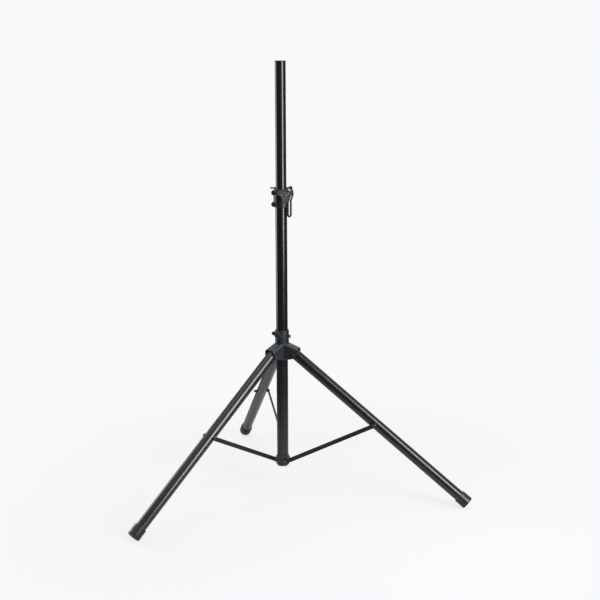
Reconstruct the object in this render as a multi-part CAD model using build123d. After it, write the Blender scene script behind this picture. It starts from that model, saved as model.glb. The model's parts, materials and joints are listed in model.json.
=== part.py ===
from build123d import *
import os
from math import cos, hypot, radians, sin, sqrt

# Tripod loudspeaker stand with a telescopic mast, in millimetres.
# Origin on the floor under the column axis, +Z up. The three legs stand at 90, 210 and 330 degrees.
# A piece that belongs to a leg is drawn for a leg that points along +X, and then turned to its leg.

# ---- driving dimensions ----
LEG_AZIMUTHS = {"back": 90.0, "left": 210.0, "right": 330.0}
LEG_ANGLE = 51.5            # between an opened leg and the column axis, degrees

COLUMN_R = 19.0             # outer tube, 38 mm
COLUMN_WALL = 1.2
COLUMN_BOTTOM_Z = 93.0      # lower end of the outer tube
COLUMN_LENGTH = 897.0

MAST_R = 17.5               # inner tube, 35 mm, the standard loudspeaker pole
MAST_WALL = 1.5
MAST_LENGTH = 947.5
MAST_INSIDE = 514.0         # length of the inner tube that is in the column

LEG_R = 17.5
LEG_WALL = 1.5
LEG_REACH = 740.0           # from the leg's hinge to the end of its foot
LEG_TAIL = 9.5              # tube beyond the hinge

FOOT_R = 21.0
FOOT_LENGTH = 36.0
FOOT_END_WALL = 5.0
FOOT_RIM = 1.5              # rounding of the foot's edge

BRACE_POINT = 347.5         # from the leg's hinge to the brace's pivot, along the leg
BRACE_LENGTH = 339.0        # between a brace's two pivots
BRACE_FOOT_R = 15.0         # lower pivot, measured outwards from the column axis
STRAP_WIDTH = 14.0
STRAP_THICK = 3.0

ROOF_ANGLE = 22.7           # slope of the roof of a hub arm, degrees
HUB_SKIRT = 18.0            # hub below its leg hinges
HUB_COLLAR_HEIGHT = 80.0    # top of the hub collar above its leg hinges
HUB_BASE = 3.0              # from the collar's lower end up to an arm's lower edge

HOUSING_GRIP = 27.0         # mast clamp's length on the outer tube
HOUSING_HEIGHT = 57.0
HOUSING_WALL = 5.9
CLAMP_KNOB_RISE = 14.0      # clamp knob's axis above the outer tube's end
CLAMP_KNOB_AZ = 270.0
EAR_AZ = 166.0              # the split side of the mast clamp
EAR_HEIGHT = 15.0

PIN_AZ = 166.0              # the lock pin's point
PIN_R = 2.5
PIN_TIP = 35.0              # from the mast's axis to the pin's point
PIN_HOLE_PITCH = 100.0
PIN_HOLE_COUNT = 5

HUB_LOCK_AZ = 230.0
HUB_LOCK_DROP = 10.0        # lock screw's axis below the collar's top
HUB_SCREW_AZ = 346.0
HUB_SCREW_RISE = 58.0       # side screw above the leg hinges

SOCKET_DEPTH = 100.0        # pole length that a loudspeaker socket takes
LINE_WIDTH = 2.0            # scribed ring that marks the socket's depth
LINE_DEPTH = 0.3

# ---- clearances and walls ----
SLIDE_CLEAR = 0.3           # a tube in what it slides in
FIT_CLEAR = 0.05            # a pressed or bolted piece, radially
PIVOT_CLEAR = 0.08          # a pivot in its hole, radially
SIDE_CLEAR = 0.7            # leg in its hub arm, each side
SWING_CLEAR = 0.7           # leg end inside its hub arm
FACE_CLEAR = 0.3            # brace beside its bracket or spacer
HOLE_CLEAR = 0.3            # lock pin in the mast's holes, radially
ARM_WALL = 2.3
ROOF_WALL = 3.0
LINER_WALL = 1.2
COLLAR_WALL = 2.3
LUG_PROUD = 2.9             # a bracket lug's face outside the column
ARM_GAP = 2.6               # a leg's swinging end outside the collar, besides its clearance
PIN_HEAD_GAP = 0.6          # lock pin's grip outside the clamp housing
LOOP_GAP = 1.0              # pull loop outside the clamp housing
LOCK_BOSS_PROUD = 6.2       # hub lock screw's boss outside the collar

# ---- dependent sizes ----
COLUMN_TOP_Z = COLUMN_BOTTOM_Z + COLUMN_LENGTH
COLUMN_BORE_R = COLUMN_R - COLUMN_WALL
MAST_BORE_R = MAST_R - MAST_WALL
MAST_BOTTOM_Z = COLUMN_TOP_Z - MAST_INSIDE
MAST_TUBE_TOP_Z = MAST_BOTTOM_Z + MAST_LENGTH
LEG_BORE_R = LEG_R - LEG_WALL

HUB_BORE_R = COLUMN_R + SLIDE_CLEAR + LINER_WALL
COLLAR_R = HUB_BORE_R + COLLAR_WALL
SWING_R = hypot(LEG_TAIL, LEG_R)
HINGE_R = COLLAR_R + SWING_R + SWING_CLEAR + ARM_GAP
HINGE_Z = (
    (LEG_REACH - FOOT_RIM) * cos(radians(LEG_ANGLE))
    + (FOOT_R - FOOT_RIM) * sin(radians(LEG_ANGLE))
    + FOOT_RIM
)
POCKET_HALF = LEG_R + SIDE_CLEAR
ARM_HALF = POCKET_HALF + ARM_WALL
HUB_BOTTOM_Z = HINGE_Z - HUB_SKIRT
HUB_TOP_Z = HINGE_Z + HUB_COLLAR_HEIGHT
HUB_LOCK_Z = HUB_TOP_Z - HUB_LOCK_DROP

BRACE_TOP_R = HINGE_R + BRACE_POINT * sin(radians(LEG_ANGLE))
BRACE_TOP_Z = HINGE_Z - BRACE_POINT * cos(radians(LEG_ANGLE))
BRACE_FOOT_Z = BRACE_TOP_Z - sqrt(BRACE_LENGTH**2 - (BRACE_TOP_R - BRACE_FOOT_R) ** 2)
LUG_FACE = max(COLUMN_R, LEG_R) + LUG_PROUD
STRAP_INNER = LUG_FACE + FACE_CLEAR
STRAP_OUTER = STRAP_INNER + STRAP_THICK

HOUSING_BORE_R = COLUMN_R + FIT_CLEAR
HOUSING_R = HOUSING_BORE_R + HOUSING_WALL
HOUSING_BOTTOM_Z = COLUMN_TOP_Z - HOUSING_GRIP
HOUSING_TOP_Z = HOUSING_BOTTOM_Z + HOUSING_HEIGHT
CLAMP_KNOB_Z = COLUMN_TOP_Z + CLAMP_KNOB_RISE
CLAMP_LINER_FLANGE = 1.5
PIN_Z = HOUSING_TOP_Z + CLAMP_LINER_FLANGE + PIN_R + FACE_CLEAR
PIN_HEAD = HOUSING_R + PIN_HEAD_GAP

LEG_PLANE = Plane(
    origin=(HINGE_R, 0, HINGE_Z),
    x_dir=(0, -1, 0),
    z_dir=(sin(radians(LEG_ANGLE)), 0, -cos(radians(LEG_ANGLE))),
)
LOW = (Align.CENTER, Align.CENTER, Align.MIN)


# ---- helpers ----
def rod(radius, length):
    """A solid cylinder that stands on its lower face."""
    return Cylinder(radius, length, align=LOW)


def pipe(outer, inner, length):
    """A straight tube that stands on its lower face."""
    return rod(outer, length) - rod(inner, length)


def along_y(shape, x, y, z):
    """Lay a standing shape along +Y, with its lower face at y."""
    return Pos(x, y, z) * Rot(-90, 0, 0) * shape


def along_x(shape, x, z):
    """Lay a standing shape along +X, with its lower face at x."""
    return Pos(x, 0, z) * Rot(0, 90, 0) * shape


def turned(shape, azimuth):
    """Turn a shape drawn along +X to an azimuth about the column axis."""
    return Rot(0, 0, azimuth) * shape


def hexagon(across_flats, length):
    """A standing hexagonal prism."""
    return extrude(RegularPolygon(across_flats / 2, 6, major_radius=False), length)


def slab(points, half_width):
    """A plate drawn in the X-Z plane, centred on y = 0."""
    return extrude(Plane.XZ * make_face(Polyline(*points, close=True)), half_width, both=True)


def save(node, *solids):
    """Write one node; several solids are one group of alike pieces."""
    shape = solids[0] if len(solids) == 1 else Compound(list(solids))
    shape.label = node
    export_step(shape, f"parts/{node}.step")


def each_leg(build):
    """The same piece at the three legs."""
    return [turned(build(), azimuth) for azimuth in LEG_AZIMUTHS.values()]


# ---- column: outer tube, plug and brace bracket ----
PLUG_FLANGE = 3.0
PLUG_DEPTH = 22.0
BRACKET_BOTTOM = 1.0        # bracket's lower edge above the tube's end
BRACKET_HEIGHT = 31.0
BRACKET_ROUND = 2.0         # lower edge of the bracket
BRACKET_CHAMFER = 1.2       # upper edge of the bracket
BRACKET_STEP = 0.2          # bracket's ring inside its lugs' faces
LUG_R = 8.0
RIVET_R = 3.0
RIVET_GRIP = 1.0            # rivet's end, clear of the outer tube
RIVET_HEAD_R = 5.5
RIVET_HEAD = 2.6
RIVET_EDGE = 1.2
PLUG_WALL = 3.0


def plug(bore_r, flange_r, flange, depth):
    """A tube plug: its flange lies on z = 0 and points down, its stem up the tube."""
    disc = Pos(0, 0, -flange) * rod(flange_r, flange)
    disc = chamfer(disc.edges().group_by(Axis.Z)[0], flange / 2)
    stem = pipe(bore_r - FIT_CLEAR, bore_r - PLUG_WALL, depth)
    return disc + stem


def column_tube():
    return Pos(0, 0, COLUMN_BOTTOM_Z) * pipe(COLUMN_R, COLUMN_BORE_R, COLUMN_LENGTH)


def bracket_lug():
    """The ear that a brace pivots on, with its flat face at y = -LUG_FACE."""
    cheek = along_y(rod(LUG_R, LUG_FACE), BRACE_FOOT_R, -LUG_FACE, BRACE_FOOT_Z)
    web = Pos(BRACE_FOOT_R / 2, -LUG_FACE / 2, BRACE_FOOT_Z) * Box(BRACE_FOOT_R, LUG_FACE, 2 * LUG_R)
    return cheek + web


def base_bracket():
    ring = Pos(0, 0, COLUMN_BOTTOM_Z + BRACKET_BOTTOM) * rod(LUG_FACE - BRACKET_STEP, BRACKET_HEIGHT)
    ring = fillet(ring.edges().group_by(Axis.Z)[0], BRACKET_ROUND)
    ring = chamfer(ring.edges().group_by(Axis.Z)[-1], BRACKET_CHAMFER)
    for lug in each_leg(bracket_lug):
        ring += lug
    ring -= rod(COLUMN_R + FIT_CLEAR, COLUMN_TOP_Z)
    for hole in each_leg(lambda: base_rivet(FIT_CLEAR)):
        ring -= hole
    return ring


def base_rivet(extra=0.0):
    """The rivet of a brace's lower pivot, with its head outside the strap."""
    length = STRAP_OUTER + FACE_CLEAR - COLUMN_R - RIVET_GRIP
    start = -STRAP_OUTER - FACE_CLEAR
    shank = along_y(rod(RIVET_R + extra, length), BRACE_FOOT_R, start, BRACE_FOOT_Z)
    head = along_y(rod(RIVET_HEAD_R, RIVET_HEAD), BRACE_FOOT_R, start - RIVET_HEAD, BRACE_FOOT_Z)
    head = chamfer(head.edges().group_by(Axis.Y)[0], RIVET_EDGE)
    return shank + head


# ---- mast: inner tube with its cap and guide bush ----
CAP_FLANGE = 2.5
BUSH_FLANGE = 12.0
BUSH_DEPTH = 26.0
BUSH_CLEAR = 0.1            # guide bush in the outer tube
CAP_INSET = 0.1             # cap's rim inside the tube's wall


def pin_hole(z):
    bar = Pos(0, 0, z) * Rot(0, 90, 0) * Cylinder(PIN_R + HOLE_CLEAR, 4 * MAST_R)
    return Rot(0, 0, PIN_AZ) * bar


def mast_tube():
    tube = Pos(0, 0, MAST_BOTTOM_Z) * pipe(MAST_R, MAST_BORE_R, MAST_LENGTH)
    line = pipe(MAST_R + 1, MAST_R - LINE_DEPTH, LINE_WIDTH)
    tube -= Pos(0, 0, MAST_TUBE_TOP_Z - SOCKET_DEPTH - LINE_WIDTH) * line
    for step in range(PIN_HOLE_COUNT):
        tube -= pin_hole(PIN_Z - step * PIN_HOLE_PITCH)
    return tube


def mast_cap():
    cap = plug(MAST_BORE_R, MAST_R - CAP_INSET, CAP_FLANGE, PLUG_DEPTH)
    return Pos(0, 0, MAST_TUBE_TOP_Z) * Rot(180, 0, 0) * cap


def mast_bush():
    bush = plug(MAST_BORE_R, COLUMN_BORE_R - BUSH_CLEAR, BUSH_FLANGE, BUSH_DEPTH)
    return Pos(0, 0, MAST_BOTTOM_Z) * bush


# ---- mast clamp ----
BOSS_R = 11.0
BOSS_REACH = 36.0
CHAMBER_R = 7.3
INSERT_R = 7.0
INSERT_START = 24.7
INSERT_LENGTH = 10.0
PAD_R = 7.0
PAD_END = 22.0
CLAMP_SCREW_R = 4.0
SPLIT = 3.0
EAR_HALF = 10.5
EAR_BOLT_R = 2.5
EAR_BOLT_X = HOUSING_R + EAR_BOLT_R
EAR_BOLT_SPARE = 4.5        # bolt beyond the ear, for its nut
EAR_BOLT_HEAD_R = 4.2
EAR_BOLT_HEAD = 3.6
EAR_BOLT_CHAMFER = 0.6
EAR_SOCKET = 4.0            # across flats
EAR_SOCKET_DEPTH = 2.0
EAR_NUT = 8.0               # across flats
EAR_NUT_THICK = 4.0
EAR_ROUND = EAR_HEIGHT / 2
EAR_EDGE = 1.2              # rounding of an ear's faces
EAR_INSET = 0.6             # ear's centre inside the housing's wall
EAR_LOW = 1.0               # lower ear above the housing's lower end
EAR_HIGH = 3.5              # upper ear below the housing's upper end
EAR_Z = (
    HOUSING_BOTTOM_Z + EAR_LOW + EAR_ROUND,
    HOUSING_TOP_Z - EAR_HIGH - EAR_ROUND,
)
KNOB_GAP = 1.0              # a knob outside its boss
KNOB_START = BOSS_REACH + KNOB_GAP
HOUSING_EDGE = 1.5
LINER_CHAMFER = 0.6
LINER_LIP = 2.0             # liner's flange, wider than the housing's bore
KNOB_STEM_R = 9.0
KNOB_STEM = 7.0
KNOB_THICK = 14.0
KNOB_EDGE = 2.0             # rounding of the knob's edge
KNOB_LOBES = 3
LOBE_R = 9.0
LOBE_PITCH_R = 16.0
LOBE_DIP = 2.0              # knob's middle inside the lobes' centres
LOBE_BLEND = 3.0


def clamp_ear(z):
    """Both lugs of one ear pair, before the split is cut."""
    centre = HOUSING_R - EAR_INSET
    tip = along_y(rod(EAR_ROUND, 2 * EAR_HALF), centre, -EAR_HALF, z)
    return tip + Pos(centre / 2, 0, z) * Box(centre, 2 * EAR_HALF, EAR_HEIGHT)


def clamp_housing():
    body = Pos(0, 0, HOUSING_BOTTOM_Z) * rod(HOUSING_R, HOUSING_HEIGHT)
    body = fillet(body.edges().group_by(Axis.Z)[0], HOUSING_EDGE)
    body = fillet(body.edges().group_by(Axis.Z)[-1], HOUSING_EDGE)
    for z in EAR_Z:
        ear = clamp_ear(z)
        ear = fillet(ear.edges().filter_by(GeomType.CIRCLE), EAR_EDGE)
        body += turned(ear, EAR_AZ)
    boss = along_x(rod(BOSS_R, BOSS_REACH), 0, CLAMP_KNOB_Z)
    boss = fillet(boss.edges().group_by(Axis.X)[-1], HOUSING_EDGE)
    body += turned(boss, CLAMP_KNOB_AZ)
    body -= Pos(0, 0, HOUSING_BOTTOM_Z) * rod(HOUSING_BORE_R, HOUSING_HEIGHT)
    chamber = along_x(rod(CHAMBER_R, INSERT_START), 0, CLAMP_KNOB_Z)
    seat = along_x(rod(INSERT_R + FIT_CLEAR, BOSS_REACH), 0, CLAMP_KNOB_Z)
    body -= turned(chamber + seat, CLAMP_KNOB_AZ)
    slot = Pos(HOUSING_R, 0, HOUSING_BOTTOM_Z) * Box(2 * HOUSING_R, SPLIT, 2 * HOUSING_HEIGHT)
    body -= turned(slot, EAR_AZ)
    for z in EAR_Z:
        hole = along_y(rod(EAR_BOLT_R + FIT_CLEAR, 4 * EAR_HALF), EAR_BOLT_X, -2 * EAR_HALF, z)
        body -= turned(hole, EAR_AZ)
    return body


def clamp_liner():
    """Nylon bush above the outer tube, in which the mast slides."""
    height = HOUSING_TOP_Z - COLUMN_TOP_Z
    liner = Pos(0, 0, COLUMN_TOP_Z) * rod(HOUSING_BORE_R - FIT_CLEAR, height)
    flange = Pos(0, 0, HOUSING_TOP_Z) * rod(HOUSING_BORE_R + LINER_LIP, CLAMP_LINER_FLANGE)
    liner += chamfer(flange.edges().group_by(Axis.Z)[-1], LINER_CHAMFER)
    liner -= Pos(0, 0, COLUMN_TOP_Z) * rod(MAST_R + SLIDE_CLEAR, 2 * height)
    window = along_x(rod(CHAMBER_R, HOUSING_R), 0, CLAMP_KNOB_Z)
    return liner - turned(window, CLAMP_KNOB_AZ)


def clamp_pad():
    """Brake pad that the clamp screw presses on the mast."""
    pad = along_x(rod(PAD_R, PAD_END), 0, CLAMP_KNOB_Z)
    pad -= Pos(0, 0, HOUSING_BOTTOM_Z) * rod(MAST_R + SLIDE_CLEAR, HOUSING_HEIGHT * 2)
    return turned(pad, CLAMP_KNOB_AZ)


def clamp_insert():
    sleeve = pipe(INSERT_R, CLAMP_SCREW_R + PIVOT_CLEAR, INSERT_LENGTH)
    return turned(along_x(sleeve, INSERT_START, CLAMP_KNOB_Z), CLAMP_KNOB_AZ)


def clamp_screw():
    start = PAD_END + PIVOT_CLEAR
    length = KNOB_START + KNOB_STEM + KNOB_THICK / 2 - start
    return turned(along_x(rod(CLAMP_SCREW_R, length), start, CLAMP_KNOB_Z), CLAMP_KNOB_AZ)


def clamp_knob():
    """Three-lobed hand knob, drawn standing and then laid outwards."""
    plan = Circle(LOBE_PITCH_R - LOBE_DIP)
    for lobe in range(KNOB_LOBES):
        plan += Rot(0, 0, 360 / KNOB_LOBES * lobe) * Pos(LOBE_PITCH_R, 0) * Circle(LOBE_R)
    plan = fillet(plan.vertices(), LOBE_BLEND)
    grip = extrude(plan, KNOB_THICK)
    grip = fillet(grip.edges().group_by(Axis.Z)[-1], LOBE_BLEND)
    grip = fillet(grip.edges().group_by(Axis.Z)[0], KNOB_EDGE)
    knob = Pos(0, 0, KNOB_STEM) * grip + rod(KNOB_STEM_R, KNOB_STEM + 1)
    knob -= rod(CLAMP_SCREW_R + FIT_CLEAR, KNOB_STEM + KNOB_THICK / 2)
    return turned(along_x(knob, KNOB_START, CLAMP_KNOB_Z), CLAMP_KNOB_AZ)


def ear_bolt(z):
    """Socket-head bolt across one ear pair."""
    shank = along_y(rod(EAR_BOLT_R, 2 * EAR_HALF + EAR_BOLT_SPARE), EAR_BOLT_X, -EAR_HALF, z)
    start = -EAR_HALF - EAR_BOLT_HEAD
    head = along_y(rod(EAR_BOLT_HEAD_R, EAR_BOLT_HEAD), EAR_BOLT_X, start, z)
    head = chamfer(head.edges().group_by(Axis.Y)[0], EAR_BOLT_CHAMFER)
    socket = along_y(hexagon(EAR_SOCKET, EAR_SOCKET_DEPTH), EAR_BOLT_X, start, z)
    return turned(shank + head - socket, EAR_AZ)


def ear_nut(z):
    nut = hexagon(EAR_NUT, EAR_NUT_THICK) - rod(EAR_BOLT_R + FIT_CLEAR, EAR_NUT_THICK)
    return turned(along_y(nut, EAR_BOLT_X, EAR_HALF, z), EAR_AZ)


# ---- lock pin with its moulded pull grip ----
GRIP_R = 5.5
GRIP_LENGTH = 11.0
GRIP_ROUND = 1.5
PIN_POINT_ROUND = 1.5
LOOP_R = 3.2
LOOP_AZ = 216.0             # direction in which the loop lies, seen from above
LOOP_SIDE = 19.35           # loop's hanging point, back from the loop plane's nearest point
LOOP_PLANE_R = HOUSING_R + LOOP_R + LOOP_GAP
LOOP_POINTS = ((0, 0), (-5, -21), (5.5, -40), (5.5, -91), (20, -91), (20, -46))
LOOP_RADII = (3.5, 12.0, 12.0, 7.1, 7.1, 9.0)


def lock_pin():
    length = PIN_TIP + PIN_HEAD + GRIP_LENGTH / 2
    bar = rod(PIN_R, length)
    bar = fillet(bar.edges().group_by(Axis.Z)[-1], PIN_POINT_ROUND)
    return turned(along_x(bar, PIN_TIP - length, PIN_Z), PIN_AZ)


def pin_grip():
    """Moulded head and hanging loop, one piece."""
    head = rod(GRIP_R, GRIP_LENGTH)
    head = fillet(head.edges(), GRIP_ROUND)
    head -= Pos(0, 0, GRIP_LENGTH / 2) * rod(PIN_R + FIT_CLEAR, GRIP_LENGTH)
    head = turned(along_x(head, -PIN_HEAD - GRIP_LENGTH, PIN_Z), PIN_AZ)
    along = Vector(cos(radians(LOOP_AZ)), sin(radians(LOOP_AZ)), 0)
    outward = Vector(-along.Y, along.X, 0)
    start = outward * LOOP_PLANE_R - along * LOOP_SIDE + Vector(0, 0, PIN_Z)
    flat = Plane(origin=start, x_dir=along, z_dir=outward * -1)
    route = FilletPolyline(*LOOP_POINTS, radius=LOOP_RADII, close=True)
    route = flat * route
    section = Plane(route @ 0, z_dir=route % 0) * Circle(LOOP_R)
    return head + sweep(section, path=route)


# ---- hub ----
HINGE_BOLT_R = 4.0
HINGE_BOSS_R = 9.5
HINGE_BOSS = 1.0
COLLAR_ROUND = 1.0          # upper edge of the hub collar
LOCK_BOSS_R = 8.0
LOCK_BOSS_ROUND = 1.0
LOCK_BOSS_REACH = COLLAR_R + LOCK_BOSS_PROUD
LOCK_PAD_R = 5.0
LOCK_PAD_END = COLLAR_R - 1.0
LOCK_INSERT_R = 5.5
LOCK_INSERT_START = LOCK_PAD_END + 2.2
LOCK_INSERT_LENGTH = 5.0
LOCK_SCREW_R = 3.0
LOCK_SCREW_BITE = 5.0       # lock screw inside its wing knob
WING_HALF = 19.0
WING_TIP_R = 6.5
WING_WEB = 8.0              # width of the web between the wing's tips
WING_HUB_R = 8.5
WING_THICK = 8.0
WING_STEM_R = 6.0
WING_STEM = 3.0
WING_LAP = 0.5              # stem inside the wings
WING_ROUND = 2.0            # corners between the wings and the middle
WING_EDGE = 2.0             # rounding of the outer edge
WING_TWIST = 22.0
SIDE_SCREW_R = 2.0
SIDE_SCREW_HEAD_R = 5.0
SIDE_SCREW_HEAD = 3.6
SIDE_HEAD_ROUND = 1.4
SIDE_BOSS_R = 5.5
SIDE_BOSS_END = COLLAR_R + 2.2
SIDE_SCREW_Z = HINGE_Z + HUB_SCREW_RISE
HINGE_HEAD_R = 6.6
HINGE_HEAD = 2.6
HINGE_HEAD_ROUND = 1.2
HINGE_BOLT_SPARE = 0.5      # bolt beyond its nut
HUB_LINER_INSET = 1.0       # liner inside the hub's ends
HINGE_SOCKET = 5.0          # across flats
HINGE_SOCKET_DEPTH = 1.6
HINGE_NUT = 13.0            # across flats
HINGE_NUT_THICK = 4.0
ARM_LIP = 11.5              # from the leg's hinge to an arm's outer end
ARM_THROAT = 8.5            # from the leg's hinge to the notch in an arm's cheek
ARM_THROAT_DROP = 3.0       # throat below the leg's hinge
ARM_HEEL = 16.0             # from the leg's hinge in to the cheek's lower edge
ARM_CHIN = 2.5              # cheek's lowest outer corner, out from the leg's hinge
ARM_CHIN_DROP = 10.5        # the same corner, below the leg's hinge
ARM_BROW = 7.0              # outer end's lower corner, above the leg's hinge
ARM_ROOT = 6.0              # roof's inner end, inside the collar's wall
POCKET_HEEL = 1.0           # pocket's lower corner, out from the leg's hinge
ROOF_ROUND = 10.0
POCKET_ROUND = 8.0


def roof_point(x, distance):
    """A point of the line that lies distance above the hinge, parallel to the arm's roof."""
    slope = radians(ROOF_ANGLE)
    step = (x - HINGE_R - distance * sin(slope)) / cos(slope)
    return x, HINGE_Z + distance * cos(slope) - step * sin(slope)


def roof_edges(shape):
    """The edges of a slab that run down the roof."""
    slope = radians(ROOF_ANGLE)
    return shape.edges().filter_by(Axis((0, 0, 0), (cos(slope), 0, -sin(slope))))


def hub_arm():
    outer = SWING_R + SWING_CLEAR + ROOF_WALL
    end = HINGE_R + ARM_LIP
    arm = slab(
        (
            (0, HUB_BOTTOM_Z + HUB_BASE),
            (HINGE_R - ARM_HEEL, HUB_BOTTOM_Z + HUB_BASE),
            (HINGE_R + ARM_CHIN, HINGE_Z - ARM_CHIN_DROP),
            (HINGE_R + ARM_THROAT, HINGE_Z - ARM_THROAT_DROP),
            (end, HINGE_Z + ARM_BROW),
            roof_point(end, outer),
            roof_point(COLLAR_R - ARM_ROOT, outer),
            (0, roof_point(COLLAR_R - ARM_ROOT, outer)[1]),
        ),
        ARM_HALF,
    )
    arm = fillet(roof_edges(arm), ROOF_ROUND)
    face = ARM_HALF + HINGE_BOSS
    boss = along_y(rod(HINGE_BOSS_R, 2 * face), HINGE_R, -face, HINGE_Z)
    keep = slab(
        (
            (0, HUB_BOTTOM_Z + HUB_BASE),
            (HINGE_R + POCKET_HEEL, HUB_BOTTOM_Z + HUB_BASE),
            (HINGE_R + ARM_THROAT, HINGE_Z - ARM_THROAT_DROP),
            (HINGE_R + ARM_THROAT, HINGE_Z + 2 * HINGE_BOSS_R),
            (0, HINGE_Z + 2 * HINGE_BOSS_R),
        ),
        face,
    )
    return arm + (boss & keep)


def hub_pocket():
    """The space in a hub arm in which the leg's end swings."""
    inner = SWING_R + SWING_CLEAR
    wall = HINGE_R - inner
    far = 2 * HINGE_R
    low = HUB_BOTTOM_Z - HINGE_R
    pocket = slab(
        (
            (wall, low),
            (far, low),
            roof_point(far, inner),
            roof_point(wall, inner),
        ),
        POCKET_HALF,
    )
    return fillet(roof_edges(pocket), POCKET_ROUND)


def hub_body():
    body = Pos(0, 0, HUB_BOTTOM_Z) * rod(COLLAR_R, HUB_TOP_Z - HUB_BOTTOM_Z)
    body = fillet(body.edges().group_by(Axis.Z)[-1], COLLAR_ROUND)
    for arm in each_leg(hub_arm):
        body += arm
    boss = along_x(rod(LOCK_BOSS_R, LOCK_BOSS_REACH), 0, HUB_LOCK_Z)
    body += turned(fillet(boss.edges().group_by(Axis.X)[-1], LOCK_BOSS_ROUND), HUB_LOCK_AZ)
    body += turned(along_x(rod(SIDE_BOSS_R, SIDE_BOSS_END), 0, SIDE_SCREW_Z), HUB_SCREW_AZ)
    for pocket in each_leg(hub_pocket):
        body -= pocket
    body -= Pos(0, 0, HUB_BOTTOM_Z) * rod(HUB_BORE_R, HUB_TOP_Z)
    for hole in each_leg(lambda: hinge_hole(FIT_CLEAR)):
        body -= hole
    chamber = along_x(rod(LOCK_PAD_R + SLIDE_CLEAR, LOCK_INSERT_START), 0, HUB_LOCK_Z)
    seat = along_x(rod(LOCK_INSERT_R + FIT_CLEAR, LOCK_BOSS_REACH), 0, HUB_LOCK_Z)
    body -= turned(chamber + seat, HUB_LOCK_AZ)
    key = along_x(rod(SIDE_SCREW_R + FIT_CLEAR, 2 * SIDE_BOSS_END), 0, SIDE_SCREW_Z)
    body -= turned(key, HUB_SCREW_AZ)
    return body


def hinge_hole(extra):
    """Leg hinge's round through a whole arm, larger than the bolt by extra."""
    return along_y(rod(HINGE_BOLT_R + extra, 4 * ARM_HALF), HINGE_R, -2 * ARM_HALF, HINGE_Z)


def hub_liner():
    """Nylon sleeve between the hub and the outer tube."""
    height = HUB_TOP_Z - HUB_BOTTOM_Z - 2 * HUB_LINER_INSET
    liner = pipe(HUB_BORE_R - FIT_CLEAR, COLUMN_R + SLIDE_CLEAR, height)
    liner = Pos(0, 0, HUB_BOTTOM_Z + HUB_LINER_INSET) * liner
    window = along_x(rod(LOCK_PAD_R + SLIDE_CLEAR, COLLAR_R), 0, HUB_LOCK_Z)
    key = along_x(rod(SIDE_SCREW_R + FIT_CLEAR, COLLAR_R), 0, SIDE_SCREW_Z)
    return liner - turned(window, HUB_LOCK_AZ) - turned(key, HUB_SCREW_AZ)


def hub_side_screw():
    """Screw that keys the liner in the collar."""
    start = COLUMN_R + SLIDE_CLEAR + FACE_CLEAR
    shank = along_x(rod(SIDE_SCREW_R, SIDE_BOSS_END - start), start, SIDE_SCREW_Z)
    head = along_x(rod(SIDE_SCREW_HEAD_R, SIDE_SCREW_HEAD), SIDE_BOSS_END, SIDE_SCREW_Z)
    head = fillet(head.edges().group_by(Axis.X)[-1], SIDE_HEAD_ROUND)
    return turned(shank + head, HUB_SCREW_AZ)


def hinge_bolt():
    """Bolt of a leg's hinge: low round head on the +Y side."""
    face = ARM_HALF + HINGE_BOSS
    start = -face - HINGE_NUT_THICK - HINGE_BOLT_SPARE
    shank = along_y(rod(HINGE_BOLT_R, face - start), HINGE_R, start, HINGE_Z)
    head = along_y(rod(HINGE_HEAD_R, HINGE_HEAD), HINGE_R, face, HINGE_Z)
    head = fillet(head.edges().group_by(Axis.Y)[-1], HINGE_HEAD_ROUND)
    floor = face + HINGE_HEAD - HINGE_SOCKET_DEPTH
    socket = along_y(hexagon(HINGE_SOCKET, HINGE_SOCKET_DEPTH), HINGE_R, floor, HINGE_Z)
    return shank + head - socket


def hinge_nut():
    face = ARM_HALF + HINGE_BOSS
    nut = hexagon(HINGE_NUT, HINGE_NUT_THICK) - rod(HINGE_BOLT_R + FIT_CLEAR, HINGE_NUT_THICK)
    return along_y(nut, HINGE_R, -face - HINGE_NUT_THICK, HINGE_Z)


def hub_pad():
    pad = along_x(rod(LOCK_PAD_R, LOCK_PAD_END), 0, HUB_LOCK_Z)
    pad -= Pos(0, 0, HUB_BOTTOM_Z) * rod(COLUMN_R + SLIDE_CLEAR, 2 * HUB_COLLAR_HEIGHT)
    return turned(pad, HUB_LOCK_AZ)


def hub_insert():
    sleeve = pipe(LOCK_INSERT_R, LOCK_SCREW_R + PIVOT_CLEAR, LOCK_INSERT_LENGTH)
    return turned(along_x(sleeve, LOCK_INSERT_START, HUB_LOCK_Z), HUB_LOCK_AZ)


def hub_screw():
    start = LOCK_PAD_END + PIVOT_CLEAR
    length = LOCK_BOSS_REACH + KNOB_GAP + LOCK_SCREW_BITE - start
    return turned(along_x(rod(LOCK_SCREW_R, length), start, HUB_LOCK_Z), HUB_LOCK_AZ)


def hub_wing():
    """Two-winged hand knob of the hub's lock screw."""
    tips = [Pos(side * (WING_HALF - WING_TIP_R), 0) * Circle(WING_TIP_R) for side in (-1, 1)]
    plan = Circle(WING_HUB_R) + tips[0] + tips[1]
    plan += Rectangle(2 * (WING_HALF - WING_TIP_R), WING_WEB)
    plan = fillet(plan.vertices(), WING_ROUND)
    wing = extrude(plan, WING_THICK)
    wing = fillet(wing.edges().group_by(Axis.Z)[-1], WING_EDGE)
    wing = Pos(0, 0, WING_STEM) * wing + rod(WING_STEM_R, WING_STEM + WING_LAP)
    wing -= rod(LOCK_SCREW_R + FIT_CLEAR, LOCK_SCREW_BITE)
    wing = Rot(0, 0, 90 - WING_TWIST) * wing
    return turned(along_x(wing, LOCK_BOSS_REACH + KNOB_GAP, HUB_LOCK_Z), HUB_LOCK_AZ)


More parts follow.
